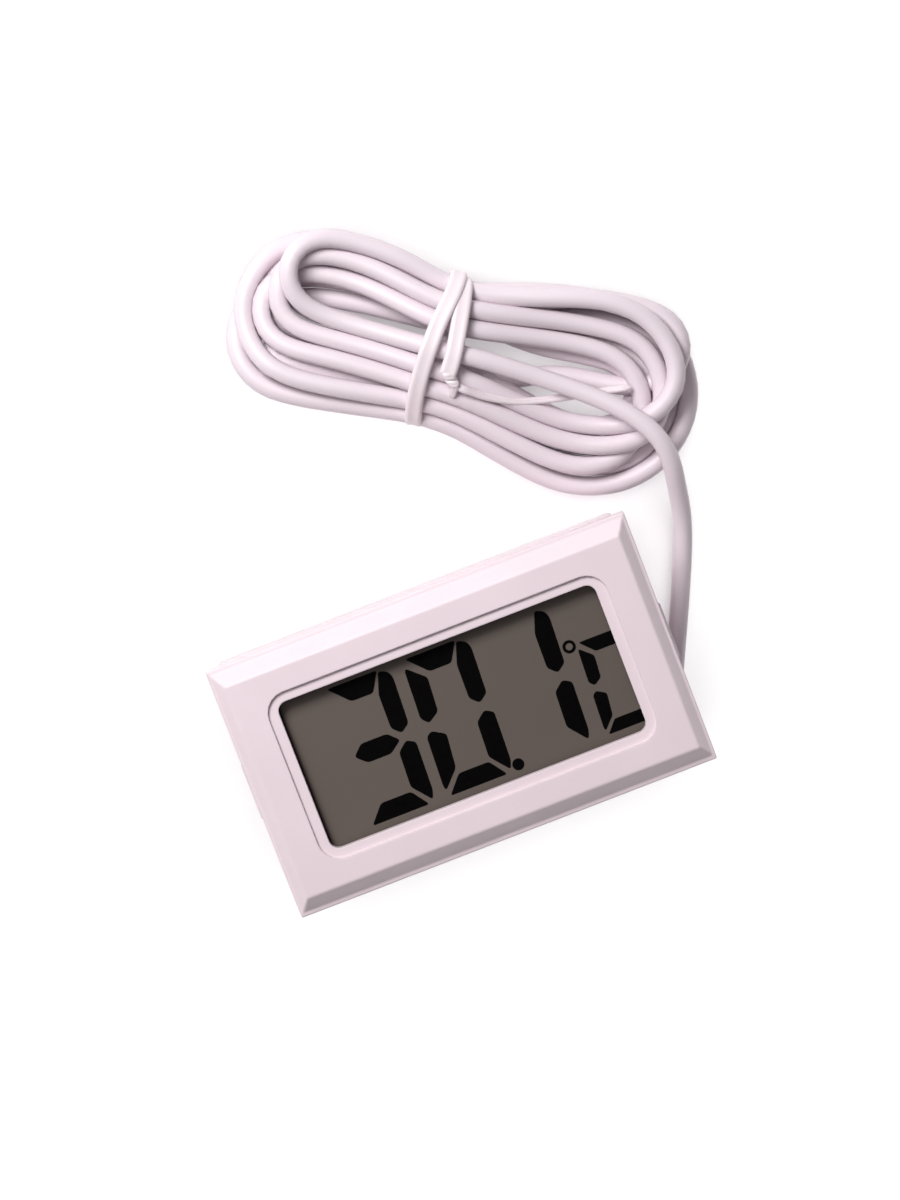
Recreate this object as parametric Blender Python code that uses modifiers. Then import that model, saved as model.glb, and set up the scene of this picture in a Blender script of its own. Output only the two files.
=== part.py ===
"""Digital panel thermometer with a remote sensor on a thin cord.

It lies on its back: the rear cover faces down, the display faces up, +X is the
display's right and +Y its top. The origin is on the floor under the case's middle.
The cord's hank lies on the same floor, above the top edge of the display.
"""

import math

import bmesh
import bpy
from mathutils import Matrix, Vector

MM = 0.001
GAP = 0.3 * MM              # clearance between pieces that touch

# Case
BEZEL = (48.0 * MM, 28.6 * MM)      # flange, width and height
BODY = (46.0 * MM, 26.6 * MM)       # what goes through the panel
DEPTH = 15.2 * MM
FLANGE_BACK = 12.2 * MM
FLANGE_SHOULDER = 13.7 * MM         # where the flange's sloped edge starts
SLOPE_X, SLOPE_Y = 1.4 * MM, 2.0 * MM
WALL = 1.1 * MM
WINDOW = (36.4 * MM, 17.0 * MM)
WINDOW_RADIUS = 1.1 * MM
LEDGE = (38.8 * MM, 19.2 * MM)      # shallow step round the window
LEDGE_RADIUS = 2.4 * MM
LEDGE_DEPTH = 0.4 * MM
FACE_BACK = 13.8 * MM               # inner side of the window wall

# Rear cover and battery door
COVER_THICK = 2.0 * MM
SKIRT_BACK = COVER_THICK + GAP
RIM_TOP = 3.4 * MM
DOOR_WIDTH = 25.2 * MM
DOOR_TOP_Y, DOOR_LOW_Y = 7.0 * MM, -13.1 * MM
DOOR_BACK, DOOR_FRONT = 0.2 * MM, 1.8 * MM
TONGUE = 0.7 * MM                   # how far the door's side tongues reach
WELL_TOP = 7.6 * MM
CELL_RADIUS, CELL_HEIGHT, CELL_X = 5.8 * MM, 5.4 * MM, 6.15 * MM
CELL_BACK = 2.2 * MM

# Inner stack, back faces
BOARD_BACK, BOARD_THICK = 8.9 * MM, 0.8 * MM
INNER = (43.2 * MM, 23.8 * MM)      # board and display frame
CLIP_BAY_X, CLIP_BAY_Y = 20.1 * MM, 3.6 * MM
SCREW_X, SCREW_Y = 20.35 * MM, 6.2 * MM
POST_X, POST_Y, POST_RADIUS, POST_TOP = 19.4 * MM, 9.9 * MM, 2.2 * MM, 8.4 * MM

# Spring clips in the short sides
CLIP_HINGE = (22.5 * MM, 2.8 * MM)  # distance from the middle, height
CLIP_WIDTH = 6.4 * MM

# Cord
CORD = 2.1 * MM
CORD_Z = 0.1 * MM + CORD / 2
EXIT_DIRECTION = Vector((0.43, 0.903, 0.0)).normalized()
EXIT_AXIS = Vector((24.5, -3.29, 0.0)) * MM     # a point on the line the cord leaves along
GLAND_BACK, GLAND_FRONT = -7.9 * MM, -5.9 * MM  # along that line
LEAD_ROUTE = (                      # after the straight stretch out of the gland
    (26.5, 1.0, 1.15), (27.8, 3.8, 1.2), (29.0, 6.6, 1.5), (30.0, 9.4, 2.2), (30.7, 12.0, 3.3),
    (31.1, 14.0, 4.2), (31.3, 15.6, 4.9),
)

# Hank: its middle, its direction and its outline
HANK_MIDDLE = Vector((14.5, 35.0, 0.0)) * MM
HANK_ANGLE = math.radians(-32.0)
HANK_LENGTH, HANK_WIDTH = 51.0 * MM, 22.6 * MM
HANK_WAIST = 0.3                    # share of the width that the tie pulls in
HANK_TOP = 7.6 * MM
TIE_ALONG = -2.5 * MM
TIE_PITCH = 1.3 * MM
PROBE_ALONG, PROBE_ACROSS = -6.0 * MM, -4.2 * MM    # the probe's open end; its tip points along -X
PROBE_RADIUS, PROBE_LENGTH = 2.25 * MM, 16.5 * MM

parts = bpy.data.collections.new("panel_thermometer")
cutters = bpy.data.collections.new("cutters")


def clear_scene():
    for thing in list(bpy.data.objects):
        bpy.data.objects.remove(thing, do_unlink=True)
    bpy.context.scene.collection.children.link(parts)
    bpy.context.scene.collection.children.link(cutters)
    cutters.hide_render = True


def material(name, colour, roughness, metallic=0.0):
    made = bpy.data.materials.new(name)
    made.use_nodes = True
    shader = made.node_tree.nodes["Principled BSDF"]
    shader.inputs["Base Color"].default_value = (*colour, 1.0)
    shader.inputs["Roughness"].default_value = roughness
    shader.inputs["Metallic"].default_value = metallic
    return made


def keep(name, data, finish=None, cutter=False):
    """Link a new object to the parts, or to the cutters."""
    thing = bpy.data.objects.new(name, data)
    (cutters if cutter else parts).objects.link(thing)
    if finish:
        data.materials.append(finish)
    if cutter:
        thing.hide_render = True
        thing.display_type = "WIRE"
    return thing


def box(name, low, high, finish=None, cutter=False, turn=0.0):
    """A box between two corners, turned about its own middle."""
    low, high = Vector(low), Vector(high)
    shape = bmesh.new()
    bmesh.ops.create_cube(shape, size=1.0)
    bmesh.ops.scale(shape, vec=high - low, verts=shape.verts)
    mesh = bpy.data.meshes.new(name)
    shape.to_mesh(mesh)
    shape.free()
    thing = keep(name, mesh, finish, cutter)
    thing.location = (low + high) / 2
    thing.rotation_euler.z = turn
    return thing


def block(name, size, back, front, finish=None, cutter=False):
    """A box centred on the origin in X and Y."""
    half_x, half_y = size[0] / 2, size[1] / 2
    return box(name, (-half_x, -half_y, back), (half_x, half_y, front), finish, cutter)


def drum(name, radius, back, front, at=(0.0, 0.0), finish=None, cutter=False, sides=24):
    shape = bmesh.new()
    bmesh.ops.create_cone(
        shape, cap_ends=True, segments=sides, radius1=radius, radius2=radius, depth=front - back
    )
    mesh = bpy.data.meshes.new(name)
    shape.to_mesh(mesh)
    shape.free()
    thing = keep(name, mesh, finish, cutter)
    thing.location = (*at, (back + front) / 2)
    return thing


def rounded_outline(size, radius, steps=5):
    """Points round a rectangle with round corners."""
    half_x, half_y = size[0] / 2 - radius, size[1] / 2 - radius
    points = []
    for corner, (sx, sy) in enumerate(((1, 1), (-1, 1), (-1, -1), (1, -1))):
        for step in range(steps + 1):
            angle = math.pi / 2 * (corner + step / steps)
            points.append((sx * half_x + radius * math.cos(angle), sy * half_y + radius * math.sin(angle)))
    return points


def prism(name, outline, back, front, finish=None, cutter=False):
    """A flat outline in X and Y, extruded from back to front and made a mesh."""
    flat = bpy.data.curves.new(name, "CURVE")
    flat.dimensions = "2D"
    flat.fill_mode = "BOTH"
    flat.extrude = (front - back) / 2
    spline = flat.splines.new("POLY")
    spline.points.add(len(outline) - 1)
    for point, (x, y) in zip(spline.points, outline):
        point.co = (x, y, 0.0, 1.0)
    spline.use_cyclic_u = True
    guide = keep(name + "_outline", flat)
    mesh = mesh_of(guide)
    mesh.name = name
    thing = keep(name, mesh, finish, cutter)
    thing.location.z = (back + front) / 2
    return thing


def mesh_of(guide):
    """The evaluated mesh of a curve, its caps welded. The curve is removed."""
    bpy.context.view_layer.update()
    mesh = bpy.data.meshes.new_from_object(guide.evaluated_get(bpy.context.evaluated_depsgraph_get()))
    shape = bmesh.new()
    shape.from_mesh(mesh)
    bmesh.ops.remove_doubles(shape, verts=shape.verts, dist=1e-6)
    bmesh.ops.recalc_face_normals(shape, faces=shape.faces)
    shape.to_mesh(mesh)
    shape.free()
    bpy.data.objects.remove(guide, do_unlink=True)
    return mesh


def turned(name, profile, finish, steps=20):
    """A profile of (radius, height) points turned about Z, given down its outer side, from top to bottom."""
    mesh = bpy.data.meshes.new(name)
    mesh.from_pydata([(radius, 0.0, height) for radius, height in profile],
                     [(i, i + 1) for i in range(len(profile) - 1)], [])
    thing = keep(name, mesh, finish)
    screw = thing.modifiers.new("turn", "SCREW")
    screw.steps = screw.render_steps = steps
    screw.use_merge_vertices = True
    screw.merge_threshold = 1e-6
    return thing


def tube(name, points, radius, finish):
    """A thin cord along a smooth curve through the points."""
    wire = bpy.data.curves.new(name, "CURVE")
    wire.dimensions = "3D"
    wire.bevel_depth = radius
    wire.bevel_resolution = 2
    wire.use_fill_caps = True
    spline = wire.splines.new("POLY")
    spline.points.add(len(points) - 1)
    for point, place in zip(spline.points, points):
        point.co = (*place, 1.0)
    return keep(name, wire, finish)


def smooth_route(points, spacing):
    """Points about this far apart along a Catmull-Rom curve through the given ones."""
    points = [Vector(p) for p in points]
    ends = [2 * points[0] - points[1], *points, 2 * points[-1] - points[-2]]
    made = [points[0]]
    for before, here, there, after in zip(ends, ends[1:], ends[2:], ends[3:]):
        count = max(1, round((there - here).length / spacing))
        for step in range(1, count + 1):
            t = step / count
            made.append(0.5 * (2 * here + (there - before) * t + (2 * before - 5 * here + 4 * there - after) * t**2
                               + (3 * here - before - 3 * there + after) * t**3))
    return made


def boolean(thing, other, operation):
    change = thing.modifiers.new(other.name, "BOOLEAN")
    change.operation = operation
    change.object = other


def cut(thing, *others):
    for other in others:
        boolean(thing, other, "DIFFERENCE")


def join(thing, *others):
    for other in others:
        boolean(thing, other, "UNION")


def soften(thing, width, segments=1):
    edge = thing.modifiers.new("edges", "BEVEL")
    edge.width = width
    edge.segments = segments
    edge.limit_method = "ANGLE"


def clip_bays(name, back, front):
    """Cutters for the room that both clips spring into."""
    return [
        box(f"{name}_{side}", (low, -CLIP_BAY_Y, back), (low + 5 * MM, CLIP_BAY_Y, front), cutter=True)
        for side, low in (("left", -CLIP_BAY_X - 5 * MM), ("right", CLIP_BAY_X))
    ]


def board_holes(name, back, front):
    """Cutters for the four board screws."""
    return [
        drum(f"{name}_{i}", 0.9 * MM, back, front, (sx * SCREW_X, sy * SCREW_Y), cutter=True, sides=12)
        for i, (sx, sy) in enumerate(((1, 1), (-1, 1), (-1, -1), (1, -1)))
    ]


def cord_notch(name, width, back, front):
    """Cutter along the line the cord leaves on."""
    start, end = -9.2 * MM, 4.0 * MM
    middle = EXIT_AXIS + EXIT_DIRECTION * (start + end) / 2
    return box(
        name, (middle.x - (end - start) / 2, middle.y - width / 2, back),
        (middle.x + (end - start) / 2, middle.y + width / 2, front),
        cutter=True, turn=math.atan2(EXIT_DIRECTION.y, EXIT_DIRECTION.x),
    )


def make_front_case(plastic):
    """Flange with sloped edges and window, and the skirt behind it, one moulding."""
    case = block("front_case", BODY, SKIRT_BACK, FLANGE_BACK + 1 * MM, plastic)
    foot = block("flange_foot", BEZEL, FLANGE_BACK, FLANGE_SHOULDER, cutter=True)
    slope = block("flange_slope", BEZEL, FLANGE_SHOULDER - 0.5 * MM, DEPTH, cutter=True)
    for vertex in slope.data.vertices:
        low_x, low_y = BEZEL[0] / 2, BEZEL[1] / 2
        vertex.co.x = math.copysign(low_x - SLOPE_X if vertex.co.z > 0 else low_x - 1e-6, vertex.co.x)
        vertex.co.y = math.copysign(low_y - SLOPE_Y if vertex.co.z > 0 else low_y - 1e-6, vertex.co.y)
    join(case, foot, slope)
    soften(case, 0.25 * MM, 2)
    inner = (BODY[0] - 2 * WALL, BODY[1] - 2 * WALL)
    cut(
        case,
        block("case_room", inner, 0.0, FACE_BACK, cutter=True),
        prism("window", rounded_outline(WINDOW, WINDOW_RADIUS), FACE_BACK - 1 * MM, DEPTH + 1 * MM, cutter=True),
        prism("ledge", rounded_outline(LEDGE, LEDGE_RADIUS), DEPTH - LEDGE_DEPTH, DEPTH + 1 * MM, cutter=True),
        cord_notch("skirt_notch", 3.3 * MM, 0.0, 2.8 * MM),
        *clip_bays("skirt_bay", 0.0, 11.6 * MM),
    )
    for i, side in enumerate((1, -1)):
        at = (side * POST_X, side * POST_Y)
        corner = (side * (BODY[0] / 2 - 0.5 * MM), side * (BODY[1] / 2 - 0.5 * MM))
        low = (min(at[0], corner[0]), min(at[1], corner[1]), SKIRT_BACK)
        high = (max(at[0], corner[0]), max(at[1], corner[1]), POST_TOP)
        join(case, drum(f"post_{i}", POST_RADIUS, SKIRT_BACK, POST_TOP, at, cutter=True),
             box(f"post_web_{i}", low, high, cutter=True))
        cut(case, drum(f"post_bore_{i}", 1.0 * MM, 1.0 * MM, 7.2 * MM, at, cutter=True, sides=12))


def make_display(black, glass, film, foil, rubber, dark_plastic):
    gasket = prism("display_gasket", rounded_outline((41.6 * MM, 21.8 * MM), 0.5 * MM, 1),
                   13.2 * MM, 13.5 * MM, black)
    cut(gasket, prism("gasket_window", rounded_outline((36.8 * MM, 17.4 * MM), 1.1 * MM, 3),
                      13 * MM, 14 * MM, cutter=True))
    block("display_polariser", (37.4 * MM, 18.6 * MM), 12.7 * MM, 12.9 * MM, film)
    block("display_front_glass", (37.6 * MM, 21.2 * MM), 11.6 * MM, 12.4 * MM, glass)
    block("display_rear_glass", (37.6 * MM, 17.6 * MM), 10.5 * MM, 11.3 * MM, glass)
    block("display_reflector", (37.0 * MM, 17.0 * MM), 10.0 * MM, 10.2 * MM, foil)
    for name, y in (("upper", 9.8 * MM), ("lower", -9.8 * MM)):
        box(f"zebra_strip_{name}", (-18.4 * MM, y - 0.6 * MM, 10.0 * MM),
            (18.4 * MM, y + 0.6 * MM, 11.3 * MM), rubber)
    frame = block("display_frame", INNER, 10.0 * MM, 12.9 * MM, dark_plastic)
    cut(frame, block("frame_window", (38.2 * MM, 21.8 * MM), 9 * MM, 14 * MM, cutter=True),
        *clip_bays("frame_bay", 9 * MM, 14 * MM), *board_holes("frame_hole", 9 * MM, 12 * MM))


def make_board(laminate, epoxy, metal, ceramic, steel, brass):
    board = block("circuit_board", INNER, BOARD_BACK, BOARD_BACK + BOARD_THICK, laminate)
    cut(board, *clip_bays("board_bay", 8 * MM, 11 * MM), *board_holes("board_hole", 8 * MM, 11 * MM))
    under = BOARD_BACK - GAP
    for i, (sx, sy) in enumerate(((1, 1), (-1, 1), (-1, -1), (1, -1))):
        screw = turned(
            f"board_screw_{i + 1}",
            [(0.0, 11.6 * MM), (0.6 * MM, 11.2 * MM), (0.6 * MM, under), (1.2 * MM, under),
             (1.2 * MM, under - 0.5 * MM), (0.0, under - 0.7 * MM)], steel, 12)
        screw.location = (sx * SCREW_X, sy * SCREW_Y, 0.0)
    blob = turned("chip_epoxy", [(0.0, under), (2.1 * MM, under), (2.0 * MM, under - 0.5 * MM),
                                 (1.3 * MM, under - 1.1 * MM), (0.0, under - 1.4 * MM)], epoxy)
    blob.location = (-17.3 * MM, 1.0 * MM, 0.0)
    crystal = drum("crystal", 0.95 * MM, -3.0 * MM, 3.0 * MM, finish=metal, sides=16)
    crystal.rotation_euler.x = math.pi / 2
    crystal.location = (17.4 * MM, -1.0 * MM, under - 0.95 * MM)
    small_parts = (("capacitor", (-16.8, -6.6), (2.0, 1.25, 0.9), ceramic),
                   ("resistor_1", (-16.8, 6.4), (1.6, 0.8, 0.5), epoxy),
                   ("resistor_2", (16.8, 6.4), (1.6, 0.8, 0.5), epoxy))
    for name, (x, y), (long, wide, tall), finish in small_parts:
        box(name, ((x - long / 2) * MM, (y - wide / 2) * MM, under - tall * MM),
            ((x + long / 2) * MM, (y + wide / 2) * MM, under), finish)
    for name, side in (("positive", -1), ("negative", 1)):
        low_x, high_x = sorted((side * 4.0 * MM, side * 12.6 * MM))
        foot_low, foot_high = sorted((side * 11.4 * MM, side * 13.0 * MM))
        leaf = box(f"cell_contact_{name}", (low_x, -1.8 * MM, 7.9 * MM), (high_x, 1.8 * MM, 8.15 * MM), brass)
        join(leaf, box(f"contact_foot_{name}", (foot_low, -1.7 * MM, 8.0 * MM),
                       (foot_high, 1.7 * MM, under), cutter=True))


def make_cells(steel):
    """Two button cells side by side, one of them turned over."""
    top, edge = CELL_HEIGHT / 2, 0.35 * MM
    profile = [(0.0, top), (4.3 * MM, top), (4.5 * MM, top - 0.5 * MM), (CELL_RADIUS - edge, top - 0.6 * MM),
               (CELL_RADIUS, top - 0.9 * MM), (CELL_RADIUS, edge - top), (CELL_RADIUS - edge, -top), (0.0, -top)]
    for i, side in enumerate((-1, 1)):
        cell = turned(f"button_cell_{i + 1}", profile, steel, 28)
        cell.location = (side * CELL_X, 0.0, CELL_BACK + CELL_HEIGHT / 2)
        cell.rotation_euler.x = math.pi * i


def make_rear_cover(plastic, steel):
    """Flat cover with a rim inside the skirt, the cell well, and the slot that the door slides in."""
    cover = block("rear_cover", BODY, 0.0, COVER_THICK, plastic)
    soften(cover, 0.2 * MM)
    rim = block("cover_rim", INNER, COVER_THICK - 0.5 * MM, RIM_TOP, cutter=True)
    cut(rim, block("rim_room", (INNER[0] - 2 * MM, INNER[1] - 2 * MM), 0.0, 9 * MM, cutter=True))
    well = block("cell_well", (29.6 * MM, 14.8 * MM), COVER_THICK - 0.5 * MM, WELL_TOP, cutter=True)
    join(cover, rim, well)
    slot_top = DOOR_TOP_Y + GAP
    half = DOOR_WIDTH / 2 + GAP
    low = -BODY[1] / 2 - 1 * MM
    for i, side in enumerate((-1, 1)):
        cut(cover, drum(f"well_bore_{i}", CELL_RADIUS + 0.35 * MM, 0.0, WELL_TOP + 1 * MM,
                        (side * CELL_X, 0.0), cutter=True, sides=32))
    cut(
        cover,
        box("door_slot", (-half, low, -1 * MM), (half, slot_top, DOOR_FRONT + GAP), cutter=True),
        box("tongue_slot", (-half - TONGUE, low, 0.8 * MM), (half + TONGUE, slot_top, DOOR_FRONT + GAP), cutter=True),
        cord_notch("cover_notch", 2.9 * MM, -1 * MM, RIM_TOP + 1 * MM),
    )
    for i, side in enumerate((1, -1)):
        at = (side * POST_X, side * POST_Y)
        corner = (side * 16.8 * MM, side * 7.3 * MM)
        far = (side * 22.5 * MM, side * 12.8 * MM)
        cut(cover,
            box(f"rim_gap_{i}", (min(corner[0], far[0]), min(corner[1], far[1]), COVER_THICK),
                (max(corner[0], far[0]), max(corner[1], far[1]), RIM_TOP + 1 * MM), cutter=True),
            drum(f"cover_hole_{i}", 1.0 * MM, -1 * MM, 3 * MM, at, cutter=True, sides=12),
            drum(f"head_recess_{i}", 2.2 * MM, -1 * MM, 1.05 * MM, at, cutter=True, sides=20))
        screw = turned(
            f"cover_screw_{i + 1}",
            [(0.0, 6.6 * MM), (0.7 * MM, 6.0 * MM), (0.7 * MM, 0.75 * MM), (1.9 * MM, 0.75 * MM),
             (1.9 * MM, 0.35 * MM), (1.5 * MM, 0.15 * MM), (0.0, 0.15 * MM)], steel, 16)
        screw.location = (*at, 0.0)


def make_battery_door(plastic, brass):
    """Door on side tongues, with a grooved thumb grip and the link strip that joins the cells."""
    half = DOOR_WIDTH / 2
    door = box("battery_door", (-half, DOOR_LOW_Y, DOOR_BACK), (half, DOOR_TOP_Y, DOOR_FRONT), plastic)
    join(door, box("door_tongues", (-half - TONGUE, DOOR_LOW_Y, 1.1 * MM), (half + TONGUE, DOOR_TOP_Y, DOOR_FRONT),
                   cutter=True))
    cut(door, box("link_pocket", (-9.3 * MM, -2.6 * MM, 1.2 * MM), (9.3 * MM, 2.6 * MM, 3 * MM), cutter=True))
    for i in range(5):
        y = -11.4 * MM + i * 1.2 * MM
        cut(door, box(f"grip_groove_{i}", (-4.5 * MM, y - 0.3 * MM, -1 * MM),
                      (4.5 * MM, y + 0.3 * MM, 0.5 * MM), cutter=True))
    box("cell_link", (-9.0 * MM, -2.3 * MM, 1.5 * MM), (9.0 * MM, 2.3 * MM, 1.75 * MM), brass)


def make_clips(plastic):
    """Spring tongues with a catch, free at the end next to the flange, each with its origin on its flexing root."""
    x, z = CLIP_HINGE
    side_outline = ((22.0, 2.5), (23.0, 2.5), (23.0, 4.2), (24.3, 9.5), (24.3, 10.1), (23.1, 10.8),
                    (23.1, 11.3), (22.0, 11.3))
    outline = [(px * MM - x, pz * MM - z) for px, pz in side_outline]
    for name, side in (("right", 1), ("left", -1)):
        clip = prism(f"clip_{name}", outline, -CLIP_WIDTH / 2, CLIP_WIDTH / 2, plastic)
        clip.data.transform(Matrix.Rotation(math.pi / 2, 4, "X"))
        clip.location = (side * x, 0.0, z)
        if side < 0:
            clip.rotation_euler.z = math.pi
        soften(clip, 0.15 * MM)


def make_cord(jacket, sleeve, tie_plastic, red, black):
    """Gland, inner wires, lead, hank, twist tie and probe."""
    turn = math.atan2(EXIT_DIRECTION.y, EXIT_DIRECTION.x)
    length = GLAND_FRONT - GLAND_BACK
    gland = turned("cable_gland", [(0.0, length), (1.1 * MM, length), (1.25 * MM, 0.8 * MM), (1.25 * MM, 0.0),
                                   (0.0, 0.0)], sleeve, 16)
    gland.rotation_euler = (0.0, math.pi / 2, turn)
    gland.location = EXIT_AXIS + EXIT_DIRECTION * GLAND_BACK + Vector((0.0, 0.0, 1.35 * MM))

    across = Vector((-EXIT_DIRECTION.y, EXIT_DIRECTION.x, 0.0))
    for i, (side, finish) in enumerate(((-1, red), (1, black))):
        start = EXIT_AXIS + across * side * 0.45 * MM
        ends = [(start + EXIT_DIRECTION * along * MM).to_tuple()[:2] + (height * MM,)
                for along, height in ((-8.25, 1.2), (-8.5, 1.4), (-8.72, 2.2), (-8.75, 3.7))]
        ends += [((19.4 - side * 0.9) * MM, -10.4 * MM, 5.2 * MM), ((18.0 - side * 0.9) * MM, -9.6 * MM, 7.0 * MM),
                 ((17.6 - side * 0.9) * MM, -9.4 * MM, 8.5 * MM)]
        tube(f"sensor_wire_{i + 1}", smooth_route(ends, 0.8 * MM), 0.32 * MM, finish)

    straight = [EXIT_AXIS + EXIT_DIRECTION * along + Vector((0.0, 0.0, CORD_Z))
                for along in (GLAND_FRONT + GAP, -3.8 * MM, -1.8 * MM, 0.5 * MM, 2.5 * MM)]
    route = straight + [Vector(point) * MM for point in LEAD_ROUTE]
    tube("cord_lead", smooth_route(route, 2.2 * CORD), CORD / 2, jacket)

    hank_place = Matrix.Translation(HANK_MIDDLE) @ Matrix.Rotation(HANK_ANGLE, 4, "Z")
    outline = []
    for step in range(44):
        angle = 2 * math.pi * step / 44
        along = HANK_LENGTH / 2 * math.copysign(abs(math.cos(angle)) ** 0.8, math.cos(angle))
        across = HANK_WIDTH / 2 * math.copysign(abs(math.sin(angle)) ** 0.75, math.sin(angle))
        outline.append((along, across * (1 - HANK_WAIST * math.exp(-((along - TIE_ALONG) / (9 * MM)) ** 2))))
    hank = prism("cord_hank", outline, 0.1 * MM, HANK_TOP, jacket)
    tie_groove = box("tie_groove", (TIE_ALONG - 2.6 * MM, -15 * MM, -1 * MM),
                     (TIE_ALONG + 2.6 * MM, 15 * MM, 1.4 * MM), cutter=True)
    bed = box("probe_bed", (PROBE_ALONG - PROBE_LENGTH - 0.5 * MM, PROBE_ACROSS - 2.6 * MM, -1 * MM),
              (PROBE_ALONG + 1.9 * MM, PROBE_ACROSS + 2.6 * MM, 5.0 * MM), cutter=True)
    cut(hank, tie_groove, bed)
    bpy.context.view_layer.update()
    for thing in (hank, tie_groove, bed):
        thing.matrix_world = hank_place @ thing.matrix_world

    make_tie(hank_place, tie_plastic)
    make_probe(hank_place, sleeve, black)


def make_tie(hank_place, plastic):
    """Twist tie: two wraps round the waist of the hank, and both ends on top."""
    low, top, half = 0.65 * MM, HANK_TOP + 0.85 * MM, 9.3 * MM
    ring = ((0.0, top), (half * 0.9, top), (half, top * 0.82), (half, top * 0.22), (half * 0.9, low),
            (0.0, low), (-half * 0.9, low), (-half, top * 0.22), (-half, top * 0.82), (-half * 0.9, top))
    points = [(10.0 * MM, 1.5 * MM, top), (5.0 * MM, 0.5 * MM, top)]
    turns = 1.9
    count = round(turns * len(ring))
    for step in range(count + 1):
        across, height = ring[step % len(ring)]
        points.append((TIE_PITCH * (step / len(ring) - turns / 2), across, height))
    points = [(along + TIE_ALONG, across, height) for along, across, height in points]
    tie = tube("twist_tie", smooth_route(points, 2.2 * MM), 0.5 * MM, plastic)
    tie.matrix_world = hank_place


def make_probe(hank_place, plastic, bead):
    """Closed sleeve with the sensing bead inside and a potting plug where the cord goes in."""
    radius, bore, length = PROBE_RADIUS, PROBE_RADIUS - 0.7 * MM, PROBE_LENGTH
    sleeve = turned("sensor_probe", [(0.0, length), (radius * 0.55, length - 0.25 * MM),
                                     (radius * 0.9, length - 0.9 * MM), (radius, length - 1.8 * MM), (radius, 0.0),
                                     (bore, 0.0), (bore, length - 1.8 * MM), (0.0, length - 1.2 * MM)], plastic)
    plug = turned("probe_plug", [(0.0, 1.6 * MM), (bore - GAP, 1.6 * MM), (bore - GAP, -0.8 * MM),
                                 (1.05 * MM, -1.5 * MM), (0.0, -1.5 * MM)], plastic, 16)
    thermistor = turned("thermistor", [(0.0, 1.3 * MM), (0.7 * MM, 0.8 * MM), (0.8 * MM, 0.0),
                                       (0.7 * MM, -0.8 * MM), (0.0, -1.3 * MM)], bead, 12)
    lying = Matrix.Rotation(-math.pi / 2, 4, "Y")
    place = hank_place @ Matrix.Translation((PROBE_ALONG, PROBE_ACROSS, radius + 0.1 * MM)) @ lying
    sleeve.matrix_world = plug.matrix_world = place
    thermistor.matrix_world = place @ Matrix.Translation((0.0, 0.0, length - 4.5 * MM))


def smooth_shading():
    for thing in parts.objects:
        if thing.type == "MESH":
            thing.data.shade_smooth()
            thing.data.set_sharp_from_angle(angle=math.radians(30))


def main():
    clear_scene()
    white = material("case_plastic", (0.83, 0.78, 0.80), 0.42)
    dark = material("dark_plastic", (0.05, 0.05, 0.05), 0.5)
    rubber = material("rubber", (0.12, 0.12, 0.13), 0.8)
    steel = material("steel", (0.62, 0.62, 0.63), 0.3, 1.0)
    brass = material("contact_brass", (0.75, 0.65, 0.42), 0.35, 1.0)
    jacket = material("cord_jacket", (0.85, 0.80, 0.83), 0.4)
    make_front_case(white)
    make_display(rubber, material("display_glass", (0.35, 0.33, 0.31), 0.1),
                 material("polariser_film", (0.17, 0.15, 0.14), 0.3),
                 material("reflector_foil", (0.55, 0.55, 0.53), 0.4, 0.6), rubber, dark)
    make_board(material("board_laminate", (0.09, 0.22, 0.10), 0.5), dark, steel,
               material("ceramic", (0.55, 0.42, 0.28), 0.6), steel, brass)
    make_cells(steel)
    make_rear_cover(white, steel)
    make_battery_door(white, brass)
    make_clips(white)
    make_cord(jacket, material("probe_plastic", (0.82, 0.78, 0.79), 0.45),
              material("tie_plastic", (0.88, 0.86, 0.87), 0.35),
              material("red_wire", (0.55, 0.05, 0.04), 0.45), material("black_wire", (0.03, 0.03, 0.03), 0.45))
    smooth_shading()


main()
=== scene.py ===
"""Digital panel thermometer with a remote sensor, its thin cord wound in a tied hank.

The thermometer lies on its back on a white table: +X is the display's right, +Y its
top, +Z comes out of the display. Lengths in the tables below are millimetres.
"""

import math

import bmesh
import bpy
import numpy as np
from bpy.props import FloatProperty, FloatVectorProperty, PointerProperty, StringProperty
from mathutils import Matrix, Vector


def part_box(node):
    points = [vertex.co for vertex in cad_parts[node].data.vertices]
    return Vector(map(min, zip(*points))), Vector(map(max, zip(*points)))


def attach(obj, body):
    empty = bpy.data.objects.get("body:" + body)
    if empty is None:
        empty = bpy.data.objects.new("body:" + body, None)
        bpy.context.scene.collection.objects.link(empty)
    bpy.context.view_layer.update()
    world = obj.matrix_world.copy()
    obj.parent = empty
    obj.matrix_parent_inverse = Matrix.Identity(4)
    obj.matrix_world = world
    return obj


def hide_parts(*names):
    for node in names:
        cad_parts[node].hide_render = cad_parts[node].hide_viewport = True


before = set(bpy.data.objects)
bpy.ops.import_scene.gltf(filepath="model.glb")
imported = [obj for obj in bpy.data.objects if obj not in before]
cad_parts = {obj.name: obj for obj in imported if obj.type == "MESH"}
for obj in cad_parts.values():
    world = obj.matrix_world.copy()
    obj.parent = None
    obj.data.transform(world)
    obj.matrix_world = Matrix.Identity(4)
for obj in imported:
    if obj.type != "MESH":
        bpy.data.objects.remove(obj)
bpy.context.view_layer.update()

bl_info = {
    "name": "Panel thermometer",
    "version": (1, 0, 0),
    "blender": (4, 5, 0),
    "location": "3D View > Sidebar > Thermometer",
    "description": "Builds a digital panel thermometer with its sensor cord",
    "category": "Object",
}

MM = 0.001

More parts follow.
